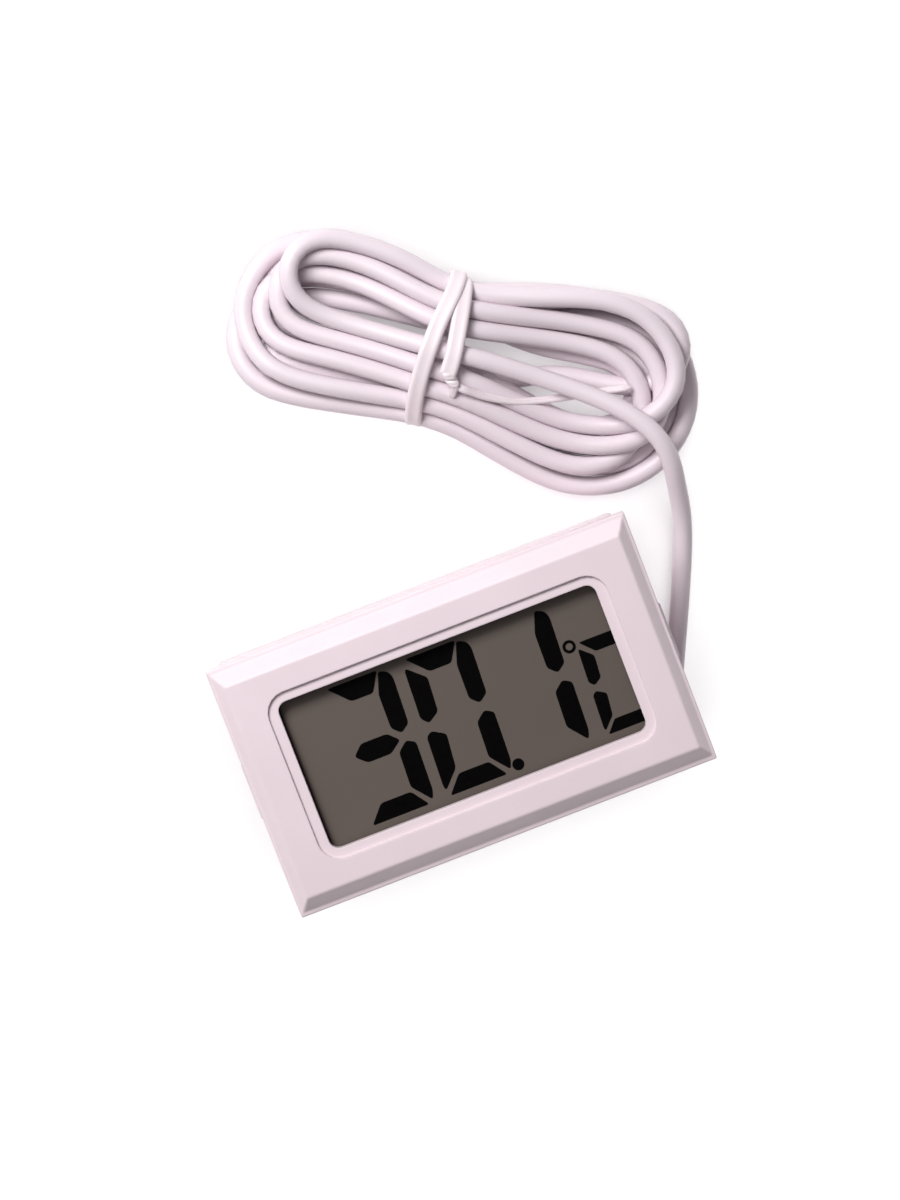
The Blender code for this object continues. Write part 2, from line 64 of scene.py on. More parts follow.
# The hank lies in its own axes: along, across, up
HANK_MIDDLE = (14.5, 35.0)
HANK_ANGLE = math.radians(-32.0)
TIE_ALONG = -2.5
PROBE_ACROSS, PROBE_UP = -4.2, 2.35
PROBE_SPAN = (-8.0, -20.2)          # the middle line of the probe, between its round ends
PROBE_CLEAR = 3.32                  # probe radius, cord radius and a hair between them

# Where the cord leaves the case, and how it runs to the hank
LEAD = (
    (21.95, -8.65, 1.15), (23.2, -6.1, 1.15), (24.5, -3.29, 1.15), (25.6, -1.0, 1.15),
    (26.55, 1.0, 1.15), (27.75, 3.7, 1.15), (28.95, 6.4, 1.35), (29.9, 9.0, 1.9),
    (30.6, 11.6, 3.1),
)
# First turn of the hank, the one on top: up over the right end, along the middle to the left
# end, and back along the high side
TOP_TURN = (
    (24.9, -9.4, 4.6), (24.2, -7.3, 6.0), (23.0, -5.3, 6.9), (21.2, -3.7, 7.1), (18.6, -2.5, 6.8),
    (14.8, -1.5, 6.3), (10.3, -0.8, 6.0), (5.7, -0.2, 6.4), (1.2, 0.3, 7.1), (-2.5, 0.5, 7.4),
    (-7.0, 0.7, 6.6), (-11.0, 1.05, 5.7), (-14.2, 1.3, 5.3), (-16.9, 1.7, 5.4), (-19.2, 2.4, 5.9),
    (-20.9, 4.0, 6.4), (-21.5, 6.1, 6.5), (-20.9, 8.2, 6.3), (-19.2, 9.7, 5.9),
    (-16.9, 10.2, 5.5), (-14.0, 10.0, 5.2), (-10.5, 9.6, 5.2), (-7.0, 8.6, 5.0), (-2.5, 7.0, 4.8),
    (3.2, 7.3, 5.0), (8.5, 8.3, 5.2), (13.0, 9.0, 5.2), (17.3, 8.5, 5.2), (20.6, 6.4, 5.2),
    (22.7, 3.4, 5.2), (22.9, 0.7, 5.0), (21.5, -1.9, 4.6), (19.0, -3.9, 4.0),
)
# The other turns, from the upper ones down: (across, up) at the low side's right, waist and left
# and at the high side's left, waist and right, then (along, up) where the turn reaches furthest
# to the left and to the right
TURNS = (
    ((-5.0, 3.4), (-1.8, 6.8), (-0.6, 5.1), (8.2, 4.4),
     (5.3, 6.0), (6.0, 3.6), (-22.3, 4.2), (21.7, 3.4)),
    ((-6.9, 3.5), (-3.8, 6.2), (-2.7, 5.6), (6.0, 3.3),
     (3.3, 6.2), (3.7, 3.3), (-23.4, 4.0), (20.4, 3.2)),
    ((-9.4, 3.3), (-5.5, 5.0), (-5.7, 5.3), (9.2, 1.15),
     (6.6, 2.7), (8.7, 1.2), (-24.8, 3.2), (24.6, 1.5)),
    ((-11.6, 1.3), (-6.7, 3.5), (-7.3, 3.2), (5.9, 1.15),
     (5.2, 1.8), (6.7, 1.15), (-24.8, 1.2), (23.0, 1.2)),
    ((-9.4, 1.2), (-6.3, 1.8), (-7.2, 1.15), (3.8, 1.15),
     (3.2, 1.8), (4.6, 1.15), (-24.0, 1.2), (21.4, 1.2)),
    ((-7.2, 1.2), (-1.8, 4.7), (1.4, 3.1), (9.9, 3.1),
     (4.9, 3.8), (3.5, 1.15), (-21.6, 3.1), (19.8, 1.2)),
    ((-5.4, 1.2), (-2.0, 2.6), (-0.8, 3.0), (8.2, 1.3),
     (2.8, 3.7), (8.7, 3.2), (-22.9, 1.3), (22.8, 3.2)),
)
# From the last turn into the probe
LAST_LANE = (-0.1, 1.2)
INTO_PROBE = (
    (13.5, 0.2, 1.2), (10.0, 0.0, 1.2), (6.5, -1.0, 1.3), (3.0, -2.7, 1.7), (-1.5, -4.2, 2.3),
    (-4.8, -4.2, 2.35),
)
# How firmly each turn keeps its place while the turns settle, from the top one down
HOLDS = (0.5, 0.25, 0.2, 0.15, 0.1, 0.05, 0.03, 0.02, 0.1)

RIGHT, LEFT = 12.0, -14.5           # where a turn's ends begin to curve
NARROWS = -8.5, 5.0                 # where the lanes draw in towards the tie, left and right of it
BESIDE_TIE = 2.2                    # a lane's points stand this far from the tie's middle
END_ROUNDNESS = 1.02                # how far an end bulges, in half widths of the turn
# Degrees round an end, and how much of the height there is that of the furthest point
END_STEPS = ((-72, 0.25), (-45, 0.6), (-15, 1.0), (15, 1.0), (45, 0.6), (72, 0.25))

# How the turns settle
CORD_STEP = 1.2                     # distance between the points of the cord
SETTLE_ROUNDS = 300
SEARCH_EVERY = 10                   # rounds between two searches for strands that are near
NEAR = 4.5                          # strands further apart than this aren't compared
SAME_STRAND = 6.0                   # nor are points that follow each other this closely
STAYS_AT_LEAD, STAYS_AT_PROBE = 14, 4   # points that stay where they are at the two ends
INSIDE_PROBE = 14                   # the last points, which may touch the probe
HOLD_STIFFNESS = 25                 # how much less a held turn gives way to the others
PUSH = 0.8                          # share of an overlap that one round takes away
RETURN = 0.15                       # share of its shift that a held turn takes back in a round
CORD_SPARE = 1.015                  # strands keep this many diameters between their middle lines
TIE_REACH, OVER_TIE = 1.6, 1.9      # strands this near the tie's middle stay this high, over it
LOWEST, HIGHEST = 1.08, 7.5         # everywhere else, the middle of a strand stays between these
NO_GIVE = 1e-9                      # keeps the sharing of a push defined where neither point moves


# ---------------------------------------------------------------- user settings


def length_setting(name, description, default):
    return FloatProperty(
        name=name, description=description, default=default, unit="LENGTH", min=0.0
    )


def colour_setting(name, description, default):
    return FloatVectorProperty(
        name=name, description=description, default=default,
        subtype="COLOR", size=3, min=0.0, max=1.0,
    )


class ThermometerSizes(bpy.types.PropertyGroup):
    cord_diameter: length_setting("Cord", "Diameter of the sensor cord", 2.1 * MM)
    cord_length: length_setting(
        "Cord length", "Real length of the cord outside the case and the probe", 0.885
    )
    tie_width: length_setting("Tie width", "Width of the twist tie's ribbon", 1.9 * MM)
    digit_height: length_setting("Digit height", "Height of the large digits", 15.6 * MM)
    digit_pitch: length_setting("Digit pitch", "Distance between the large digits", 9.0 * MM)


class ThermometerColours(bpy.types.PropertyGroup):
    case: colour_setting("Case", "Moulded front and clips", (0.745, 0.63, 0.672))
    cover: colour_setting("Cover", "Rear cover and battery door", (0.74, 0.65, 0.68))
    cord: colour_setting("Cord", "Vinyl jacket of the cord", (0.725, 0.632, 0.683))
    tie: colour_setting("Tie", "Plastic ribbon of the twist tie", (0.78, 0.69, 0.725))
    display: colour_setting(
        "Display", "Grey of the display when its segments are off", (0.092, 0.074, 0.064)
    )
    digits: colour_setting("Digits", "Dark segments of the display", (0.0008, 0.0005, 0.0005))
    board: colour_setting("Board", "Solder mask of the circuit board", (0.03, 0.14, 0.05))


class ThermometerReading(bpy.types.PropertyGroup):
    digits: StringProperty(
        name="Reading", description="Large digits, with a point before the last", default="301"
    )


def sizes():
    return bpy.context.scene.thermometer_sizes


def colours():
    return bpy.context.scene.thermometer_colours


# ---------------------------------------------------------------- materials


NOISE_LOW, NOISE_HIGH = 0.3, 0.7    # most of a noise lies between these


def new_material(name):
    """A material with its shader and its texture coordinates, in metres of the object itself."""
    made = bpy.data.materials.new(name)
    made.use_nodes = True
    nodes, links = made.node_tree.nodes, made.node_tree.links
    shader = nodes["Principled BSDF"]
    place = nodes.new("ShaderNodeTexCoord")
    return made, nodes, links, shader, place.outputs["Object"]


def noise(nodes, links, place, size, detail=2.0):
    """Noise whose grain is about this many metres wide."""
    made = nodes.new("ShaderNodeTexNoise")
    made.inputs["Scale"].default_value = 1.0 / size
    made.inputs["Detail"].default_value = detail
    links.new(place, made.inputs["Vector"])
    return made.outputs["Fac"]


def between(nodes, links, factor, low, high):
    """A number that follows the factor from low to high."""
    made = nodes.new("ShaderNodeMapRange")
    made.inputs["From Min"].default_value = NOISE_LOW
    made.inputs["From Max"].default_value = NOISE_HIGH
    made.inputs["To Min"].default_value = low
    made.inputs["To Max"].default_value = high
    links.new(factor, made.inputs["Value"])
    return made.outputs["Result"]


def blended(nodes, links, factor, first, second):
    """A colour that follows the factor from the first to the second."""
    made = nodes.new("ShaderNodeMix")
    made.data_type = "RGBA"
    links.new(factor, made.inputs["Factor"])
    made.inputs["A"].default_value = (*first, 1.0)
    made.inputs["B"].default_value = (*second, 1.0)
    return made.outputs["Result"]


def bumped(nodes, links, height, strength, depth, normal=None):
    """Surface relief of this depth, over another normal where one is given."""
    made = nodes.new("ShaderNodeBump")
    made.inputs["Strength"].default_value = strength
    made.inputs["Distance"].default_value = depth
    links.new(height, made.inputs["Height"])
    if normal is not None:
        links.new(normal, made.inputs["Normal"])
    return made.outputs["Normal"]


def tinted(colour, factor):
    """The colour, darker or lighter by a factor."""
    return tuple(min(1.0, part * factor) for part in colour)


def plastic(name, colour, grain, roughness=(0.38, 0.5), rounding=0.0, specular=0.4,
            depth=0.012 * MM, uneven=0.05):
    """Moulded plastic: faint unevenness in the colour, a fine grain, softened edges."""
    made, nodes, links, shader, place = new_material(name)
    cloud = noise(nodes, links, place, 9.0 * MM, 3.0)
    links.new(
        blended(nodes, links, cloud, tinted(colour, 1.0 - uneven), tinted(colour, 1.0 + uneven)),
        shader.inputs["Base Color"],
    )
    fine = noise(nodes, links, place, grain)
    links.new(between(nodes, links, fine, *roughness), shader.inputs["Roughness"])
    soft_edge = None
    if rounding:
        edge = nodes.new("ShaderNodeBevel")
        edge.samples = 4
        edge.inputs["Radius"].default_value = rounding
        soft_edge = edge.outputs["Normal"]
    links.new(bumped(nodes, links, fine, 0.35, depth, soft_edge), shader.inputs["Normal"])
    shader.inputs["Specular IOR Level"].default_value = specular
    return made


def metal(name, colour, roughness, scratch=0.15 * MM, along=(1.0, 12.0, 1.0)):
    """Plated metal with fine scratches along one direction."""
    made, nodes, links, shader, place = new_material(name)
    stretched = nodes.new("ShaderNodeMapping")
    stretched.inputs["Scale"].default_value = along
    links.new(place, stretched.inputs["Vector"])
    lines = noise(nodes, links, stretched.outputs["Vector"], scratch * 4, 4.0)
    links.new(
        between(nodes, links, lines, roughness * 0.75, roughness * 1.35),
        shader.inputs["Roughness"],
    )
    cloud = noise(nodes, links, place, 2.0 * MM)
    links.new(
        blended(nodes, links, cloud, tinted(colour, 0.86), tinted(colour, 1.08)),
        shader.inputs["Base Color"],
    )
    links.new(bumped(nodes, links, lines, 0.25, 0.01 * MM), shader.inputs["Normal"])
    shader.inputs["Metallic"].default_value = 1.0
    return made


# The window's left and top edges, and where the painted shadow of the frame along each of them ends
WINDOW_LEFT, LEFT_SHADOW_END = -18.15 * MM, -17.7 * MM
WINDOW_TOP, TOP_SHADOW_END = 8.55 * MM, 8.2 * MM
WINDOW_HALF = 18.0 * MM
# Near-black colour of the painted shadow along the window's left and top edges
PAINTED_SHADOW_COLOUR = (0.004, 0.001, 0.001, 1.0)


def display_film(name, colour):
    """Anti-glare film over the liquid crystal: grey, darker where the frame's edge shades it."""
    made, nodes, links, shader, place = new_material(name)
    split = nodes.new("ShaderNodeSeparateXYZ")
    links.new(place, split.inputs["Vector"])
    shade = nodes.new("ShaderNodeMath")
    shade.operation = "MINIMUM"
    for socket, axis, edge, inner in (
        (0, "X", WINDOW_LEFT, LEFT_SHADOW_END), (1, "Y", WINDOW_TOP, TOP_SHADOW_END),
    ):
        fade = nodes.new("ShaderNodeMapRange")
        fade.interpolation_type = "SMOOTHSTEP"
        fade.inputs["From Min"].default_value = edge
        fade.inputs["From Max"].default_value = inner
        links.new(split.outputs[axis], fade.inputs["Value"])
        links.new(fade.outputs["Result"], shade.inputs[socket])
    # Painted light: the display's grey is a little lighter towards the window's left, the side the
    # light comes from
    across = nodes.new("ShaderNodeMapRange")
    across.inputs["From Min"].default_value = -WINDOW_HALF
    across.inputs["From Max"].default_value = WINDOW_HALF
    links.new(split.outputs["X"], across.inputs["Value"])
    grey = blended(
        nodes, links, across.outputs["Result"], tinted(colour, 1.2), tinted(colour, 1.12)
    )
    # Painted shadow: the grey turns near-black towards the window's left and top edges, where the
    # frame shades the display
    lit = nodes.new("ShaderNodeMix")
    lit.data_type = "RGBA"
    links.new(shade.outputs["Value"], lit.inputs["Factor"])
    lit.inputs["A"].default_value = PAINTED_SHADOW_COLOUR
    links.new(grey, lit.inputs["B"])
    links.new(lit.outputs["Result"], shader.inputs["Base Color"])
    sparkle = noise(nodes, links, place, 0.05 * MM)
    links.new(between(nodes, links, sparkle, 0.42, 0.55), shader.inputs["Roughness"])
    links.new(bumped(nodes, links, sparkle, 0.2, 0.004 * MM), shader.inputs["Normal"])
    shader.inputs["Specular IOR Level"].default_value = 0.25
    return made


def board_mask(name, colour):
    """Solder mask over copper tracks, which show as lighter raised lines."""
    made, nodes, links, shader, place = new_material(name)
    tracks = nodes.new("ShaderNodeTexBrick")
    tracks.inputs["Scale"].default_value = 1.0 / (6.0 * MM)
    tracks.inputs["Mortar Size"].default_value = 0.035
    tracks.inputs["Mortar Smooth"].default_value = 0.1
    tracks.inputs["Color1"].default_value = (0.0, 0.0, 0.0, 1.0)
    tracks.inputs["Color2"].default_value = (0.0, 0.0, 0.0, 1.0)
    tracks.inputs["Mortar"].default_value = (1.0, 1.0, 1.0, 1.0)
    links.new(place, tracks.inputs["Vector"])
    line = nodes.new("ShaderNodeRGBToBW")
    links.new(tracks.outputs["Color"], line.inputs["Color"])
    links.new(
        blended(nodes, links, line.outputs["Val"], colour, tinted(colour, 1.8)),
        shader.inputs["Base Color"],
    )
    fine = noise(nodes, links, place, 0.2 * MM)
    links.new(between(nodes, links, fine, 0.25, 0.4), shader.inputs["Roughness"])
    links.new(bumped(nodes, links, line.outputs["Val"], 0.6, 0.03 * MM), shader.inputs["Normal"])
    return made


def cast_resin(name, colour, roughness=0.25):
    """Resin or ink that has set with a slightly uneven surface."""
    made, nodes, links, shader, place = new_material(name)
    cloud = noise(nodes, links, place, 0.8 * MM)
    links.new(
        blended(nodes, links, cloud, tinted(colour, 0.8), tinted(colour, 1.3)),
        shader.inputs["Base Color"],
    )
    links.new(
        between(nodes, links, cloud, roughness * 0.7, roughness * 1.5),
        shader.inputs["Roughness"],
    )
    links.new(bumped(nodes, links, cloud, 0.3, 0.08 * MM), shader.inputs["Normal"])
    return made


def paint_node(name, finish):
    """Give a CAD piece its finish in every slot."""
    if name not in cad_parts:
        raise RuntimeError(f"no piece named {name}")
    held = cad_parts[name].data.materials
    if not held:
        held.append(finish)
    for index in range(len(held)):
        held[index] = finish


# ---------------------------------------------------------------- shapes


def hank_to_table(points):
    """From the hank's own axes to the table's."""
    points = np.array(points, float)
    cos, sin = math.cos(HANK_ANGLE), math.sin(HANK_ANGLE)
    along, across, up = points.T
    x = HANK_MIDDLE[0] + along * cos - across * sin
    y = HANK_MIDDLE[1] + along * sin + across * cos
    return np.stack((x, y, up), axis=1)


def table_to_hank(points):
    """From the table's axes to the hank's own."""
    cos, sin = math.cos(HANK_ANGLE), math.sin(HANK_ANGLE)
    x, y = points[:, 0] - HANK_MIDDLE[0], points[:, 1] - HANK_MIDDLE[1]
    return np.stack((x * cos + y * sin, y * cos - x * sin, points[:, 2]), axis=1)


def smooth_route(points, pieces=6):
    """A smooth curve through the points."""
    points = np.array(points, float)
    ends = np.vstack((2 * points[0] - points[1], points, 2 * points[-1] - points[-2]))
    route = []
    for a, b, c, d in zip(ends, ends[1:], ends[2:], ends[3:]):
        for step in range(pieces):
            t = step / pieces
            route.append(
                0.5 * (
                    2 * b + (c - a) * t
                    + (2 * a - 5 * b + 4 * c - d) * t**2
                    + (3 * b - a - 3 * c + d) * t**3
                )
            )
    route.append(points[-1])
    return np.array(route)


def evenly(points, step):
    """The same line with points this far apart, and where on the old one each is, from 0 to 1."""
    gone = np.concatenate(([0.0], np.cumsum(np.linalg.norm(np.diff(points, axis=0), axis=1))))
    stops = np.linspace(0.0, gone[-1], int(round(gone[-1] / step)) + 1)
    line = np.stack([np.interp(stops, gone, points[:, axis]) for axis in range(3)], axis=1)
    return line, np.interp(stops, gone, np.linspace(0.0, 1.0, len(points)))


def eased(line, rounds):
    """The line with its small kinks smoothed out, and its two ends where they were."""
    line = line.copy()
    for _ in range(rounds):
        line[1:-1] = 0.5 * line[1:-1] + 0.25 * (line[:-2] + line[2:])
    return line


def new_piece(name, mesh, finish, body="root"):
    """A piece of the object that rides on a body."""
    mesh.materials.append(finish)
    piece = bpy.data.objects.new(name, mesh)
    bpy.context.scene.collection.objects.link(piece)
    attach(piece, body)
    return piece


def mesh_from(shape, name, crease=35.0):
    """A smooth mesh of the shape, sharp where its faces meet at more than the crease's degrees."""
    bmesh.ops.recalc_face_normals(shape, faces=shape.faces)
    mesh = bpy.data.meshes.new(name)
    shape.to_mesh(mesh)
    shape.free()
    mesh.shade_smooth()
    mesh.set_sharp_from_angle(angle=math.radians(crease))
    return mesh


CORNER_SHARE = 0.45                 # the most of a side that a rounded corner may take


def rounded(points, radius, steps=4):
    """An outline with its corners rounded off."""
    made = []
    for before, corner, after in zip(points[-1:] + points[:-1], points, points[1:] + points[:1]):
        corner = Vector(corner)
        back, ahead = Vector(before) - corner, Vector(after) - corner
        cut_back = corner + back * min(CORNER_SHARE, radius / back.length)
        cut_ahead = corner + ahead * min(CORNER_SHARE, radius / ahead.length)
        for step in range(steps + 1):
            t = step / steps
            made.append(cut_back * (1 - t) ** 2 + corner * 2 * t * (1 - t) + cut_ahead * t**2)
    return made


def plate(shape, outline, low, high):
    """A flat plate of this outline between two heights, added to the shape."""
    face = shape.faces.new([shape.verts.new((x, y, low)) for x, y in outline])
    grown = bmesh.ops.extrude_face_region(shape, geom=[face])["geom"]
    corners = [part for part in grown if isinstance(part, bmesh.types.BMVert)]
    bmesh.ops.translate(shape, vec=(0.0, 0.0, high - low), verts=corners)


def join_loops(shape, first, second):
    """Faces between two closed loops with as many points."""
    for corners in zip(first, first[1:] + first[:1], second[1:] + second[:1], second):
        shape.faces.new(corners)


TAPER_STEP = 0.35                   # how much of its size a tapered end gains at each point


def sweep(shape, route, outward, profile, ends=(1.0, 1.0)):
    """A closed profile carried along a route: its first number goes sideways, its second outward.

    ends says how much of its size the profile keeps at the route's two ends.
    """
    rings = []
    for index, point in enumerate(route):
        before, after = route[max(index - 1, 0)], route[min(index + 1, len(route) - 1)]
        ahead = (after - before).normalized()
        side = ahead.cross(outward[index]).normalized()
        out = side.cross(ahead).normalized()
        left = len(route) - 1 - index
        size = min(1.0, ends[0] + TAPER_STEP * index, ends[1] + TAPER_STEP * left)
        rings.append(
            [shape.verts.new(point + side * x * size + out * y * size) for x, y in profile]
        )
    for first, second in zip(rings, rings[1:]):
        join_loops(shape, first, second)
    shape.faces.new(rings[0][::-1])
    shape.faces.new(rings[-1])


# ---------------------------------------------------------------- cord


def round_end(reach, low, high, side):
    """The points that take a turn round one end of the hank, from its low to its high side."""
    half, middle = (high[0] - low[0]) / 2, (high[0] + low[0]) / 2
    length = half * END_ROUNDNESS
    points = []
    for degrees, share in END_STEPS:
        angle = math.radians(degrees)
        side_up = (low if degrees < 0 else high)[1]
        points.append(
            (
                reach[0] + side * length * (math.cos(angle) - 1),
                middle + half * math.sin(angle),
                side_up * (1 - share) + reach[1] * share,
            )
        )
    return points


def on_the_way(along, first, second, share):
    """A point between two lanes of a turn."""
    return (along, *(a * (1 - share) + b * share for a, b in zip(first, second)))


def hank_points():
    """The whole winding after the lead, and the number of the turn that each point is in."""
    points, turn_of = list(TOP_TURN), [0] * len(TOP_TURN)
    for number, turn in enumerate(TURNS):
        low_right, low_waist, low_left, high_left, high_waist, high_right, left, right = turn
        next_low = TURNS[number + 1][0] if number + 1 < len(TURNS) else LAST_LANE
        made = [
            (RIGHT, *low_right),
            on_the_way((RIGHT + TIE_ALONG) / 2, low_right, low_waist, 0.5),
            on_the_way(TIE_ALONG + BESIDE_TIE, low_waist, low_right, 0.1),
            on_the_way(TIE_ALONG - BESIDE_TIE, low_waist, low_left, 0.1),
            on_the_way(NARROWS[0], low_waist, low_left, 0.6),
            (LEFT, *low_left),
            *round_end(left, low_left, high_left, -1),
            (LEFT + 0.5, *high_left),
            on_the_way(NARROWS[0], high_left, high_waist, 0.45),
            on_the_way(TIE_ALONG - BESIDE_TIE, high_waist, high_left, 0.1),
            on_the_way(TIE_ALONG + BESIDE_TIE, high_waist, high_right, 0.1),
            on_the_way(NARROWS[1], high_waist, high_right, 0.6),
            (RIGHT - 1.0, *high_right),
            *round_end(right, next_low, high_right, 1)[::-1],
        ]
        points += made
        turn_of += [number + 1] * len(made)
    points += INTO_PROBE
    turn_of += [len(TURNS) + 1] * len(INTO_PROBE)
    return points, turn_of


def settle(line, hold, thick):
    """Push the turns apart until they lie beside and on each other, the table and the probe."""
    home = eased(line, 6)
    count = len(home)
    shift = np.zeros_like(home)
    free = np.ones(count)
    free[:STAYS_AT_LEAD] = free[-STAYS_AT_PROBE:] = 0.0
    give = free / (1 + hold * HOLD_STIFFNESS) + NO_GIVE
    probe_start, probe_end = hank_to_table(
        [(along, PROBE_ACROSS, PROBE_UP) for along in PROBE_SPAN]
    )
    probe = probe_end - probe_start
    away_from_plug = np.arange(count) < count - INSIDE_PROBE
    for number in range(SETTLE_ROUNDS):
        now = home + shift
        if number % SEARCH_EVERY == 0:
            apart = np.linalg.norm(now[:, None] - now[None], axis=2)
            first, second = np.where(np.triu(apart < NEAR, int(SAME_STRAND / CORD_STEP)))
        gap = now[first] - now[second]
        length = np.maximum(np.linalg.norm(gap, axis=1), 1e-6)
        push = np.where(length < thick, (thick - length) / length, 0.0)[:, None] * gap
        share = (give[first] / (give[first] + give[second]))[:, None]
        move, met = np.zeros_like(now), np.zeros(count)
        np.add.at(move, first, push * share)
        np.add.at(move, second, -push * (1 - share))
        for ends in (first, second):
            np.add.at(met, ends, (length < thick).astype(float))
        shift += PUSH * move / np.maximum(1.0, met)[:, None]
        now = home + shift
        nearest = np.clip((now - probe_start) @ probe / (probe @ probe), 0.0, 1.0)
        off = now - (probe_start + nearest[:, None] * probe)
        length = np.linalg.norm(off, axis=1)
        close = (length < PROBE_CLEAR) & away_from_plug
        away = off[close] / length[close, None]
        shift[close] += away * (PROBE_CLEAR - length[close, None]) * PUSH
        shift *= (1 - RETURN * hold)[:, None]
        shift = eased(shift, 2) * free[:, None]
        now = home + shift
        in_tie = np.abs(table_to_hank(now)[:, 0] - TIE_ALONG) < TIE_REACH
        lowest = np.where(in_tie, OVER_TIE, LOWEST)
        shift[:, 2] += np.clip(now[:, 2], lowest, HIGHEST) - now[:, 2]
    return home + shift


def cord_route(diameter):
    """The cord's middle line in metres, from the gland to the probe."""
    points, turn_of = hank_points()
    points = np.vstack((LEAD, hank_to_table(points)))
    turn_of = np.array([0] * len(LEAD) + turn_of)
    line, place = evenly(smooth_route(points), CORD_STEP)
    turns = turn_of[np.round(place * (len(turn_of) - 1)).astype(int)]
    return settle(line, np.array(HOLDS)[turns], diameter * CORD_SPARE) * MM


def cord_vinyl(name, colour):
    """Soft vinyl: slightly glossy, with the extruder's faint grain."""
    return plastic(
        name, colour, 0.12 * MM, (0.36, 0.5), specular=0.45, depth=0.01 * MM, uneven=0.035
    )


class THERMOMETER_OT_cord(bpy.types.Operator):
    """Wind the sensor cord into its hank"""

    bl_idname = "thermometer.cord"
    bl_label = "Sensor cord"

    def execute(self, context):
        diameter = sizes().cord_diameter
        line = cord_route(diameter / MM)
        curve = bpy.data.curves.new("sensor_cord", "CURVE")
        curve.dimensions = "3D"
        curve.bevel_depth = diameter / 2
        curve.bevel_resolution = 4
        curve.use_fill_caps = True
        spline = curve.splines.new("POLY")
        spline.points.add(len(line) - 1)
        spline.points.foreach_set("co", np.column_stack((line, np.ones(len(line)))).ravel())
        spline.use_smooth = True
        curve.materials.append(cord_vinyl("cord_vinyl", colours().cord))
        cord = bpy.data.objects.new("sensor_cord", curve)
        context.scene.collection.objects.link(cord)
        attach(cord, "root")
        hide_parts("cord_lead", "cord_hank")
        return {"FINISHED"}


# ---------------------------------------------------------------- tie


# Round the hank's waist: along, across, up. Down the far side, underneath, and over the top again
TIE_WRAPS = (
    (-2.1, -2.3, 8.5), (-1.9, -0.9, 8.7), (-1.8, 0.8, 8.75), (-1.8, 3.4, 8.25), (-1.85, 6.0, 7.3),
    (-1.95, 7.7, 5.8), (-2.1, 8.2, 3.8), (-2.3, 7.9, 1.6), (-2.6, 6.4, 0.6), (-3.2, 0.0, 0.47),
    (-3.9, -6.4, 0.6), (-4.2, -7.6, 1.5), (-4.4, -8.0, 3.3), (-4.6, -7.4, 4.9),
    (-4.85, -5.8, 6.5), (-4.9, -3.8, 7.7), (-4.8, -1.7, 8.4), (-4.5, 0.7, 8.85), (-4.0, 3.4, 8.4),
    (-3.2, 6.2, 7.5), (-2.8, 8.0, 6.0), (-2.7, 8.7, 3.8), (-2.9, 8.3, 1.6), (-3.6, 6.4, 0.6),
)
# The wraps face away from a line inside the hank: this share of their own distance across, and
# between these heights
CORE_SHARE, CORE_LOW, CORE_HIGH = 0.3, 1.5, 4.0
TIE_THICK = 0.85 * MM
END_WIDTH, END_THICK = 0.45, 0.6 * MM   # the twisted ends, whose width is a share of the ribbon's
# The two ends wind round each other, then one lies over the strands and the other dips between them
KNOT = ((-2.3, -1.7, 8.55), (-1.1, -2.8, 8.1))
KNOT_TURNS, KNOT_RADIUS, KNOT_STEPS = 0.8, 0.36, 20
TIE_TAIL = (
    (0.0, -3.2, 7.8), (1.1, -3.4, 7.3), (2.4, -3.6, 6.8), (4.3, -3.65, 6.15), (6.4, -3.5, 5.5),
    (8.5, -3.0, 4.95), (10.6, -2.35, 4.7), (13.0, -1.5, 4.6), (15.5, -0.6, 4.65),
    (17.9, 0.25, 4.85),
)
TIE_STUB = ((-1.0, -3.6, 7.6), (-1.1, -4.3, 6.9))


def ribbon_profile(width, thick, rib_steps=8):
    """Plastic between two rounded ribs, each over a wire."""
    half, rib, web = width / 2, thick / 2, thick * 0.41
    outline = []
    for side in (1, -1):
        for step in range(rib_steps + 1):
            angle = math.radians(-110.0 + 220.0 * step / rib_steps)
            x, y = half - rib + rib * math.cos(angle), rib * math.sin(angle)
            outline.append((side * x, side * y))
        outline.append((0.0, side * web))
    return outline


def ribbon(shape, route, inner, width, thick, ends=(1.0, 1.0)):
    """A ribbon along a route of the hank that faces away from the inner points."""
    route, inner = (
        [Vector(point) * MM for point in hank_to_table(line)] for line in (route, inner)
    )
    outward = [(spot - core).normalized() for spot, core in zip(route, inner)]
    sweep(shape, route, outward, ribbon_profile(width, thick), ends)


def twisted_end(phase, rest):
    """One end of the tie, through the knot and on, and the points that it faces away from."""
    start, end = (Vector(point) for point in KNOT)
    ahead = (end - start).normalized()
    side = ahead.cross(Vector((0.0, 0.0, 1.0))).normalized()
    up = side.cross(ahead)
    route, core = [], []
    for step in range(KNOT_STEPS + 1):
        share = step / KNOT_STEPS
        angle = phase + share * KNOT_TURNS * 2 * math.pi
        axis = start.lerp(end, share)
        route.append(axis + (side * math.cos(angle) + up * math.sin(angle)) * KNOT_RADIUS)
        core.append(axis)
    pieces = 8
    loose = smooth_route([route[-3], route[-1], *rest], pieces)[pieces + 1:]
    route += [Vector(point) for point in loose]
    core += [Vector(point) - Vector((0.0, 0.4, 1.0)) for point in loose]
    return route, core


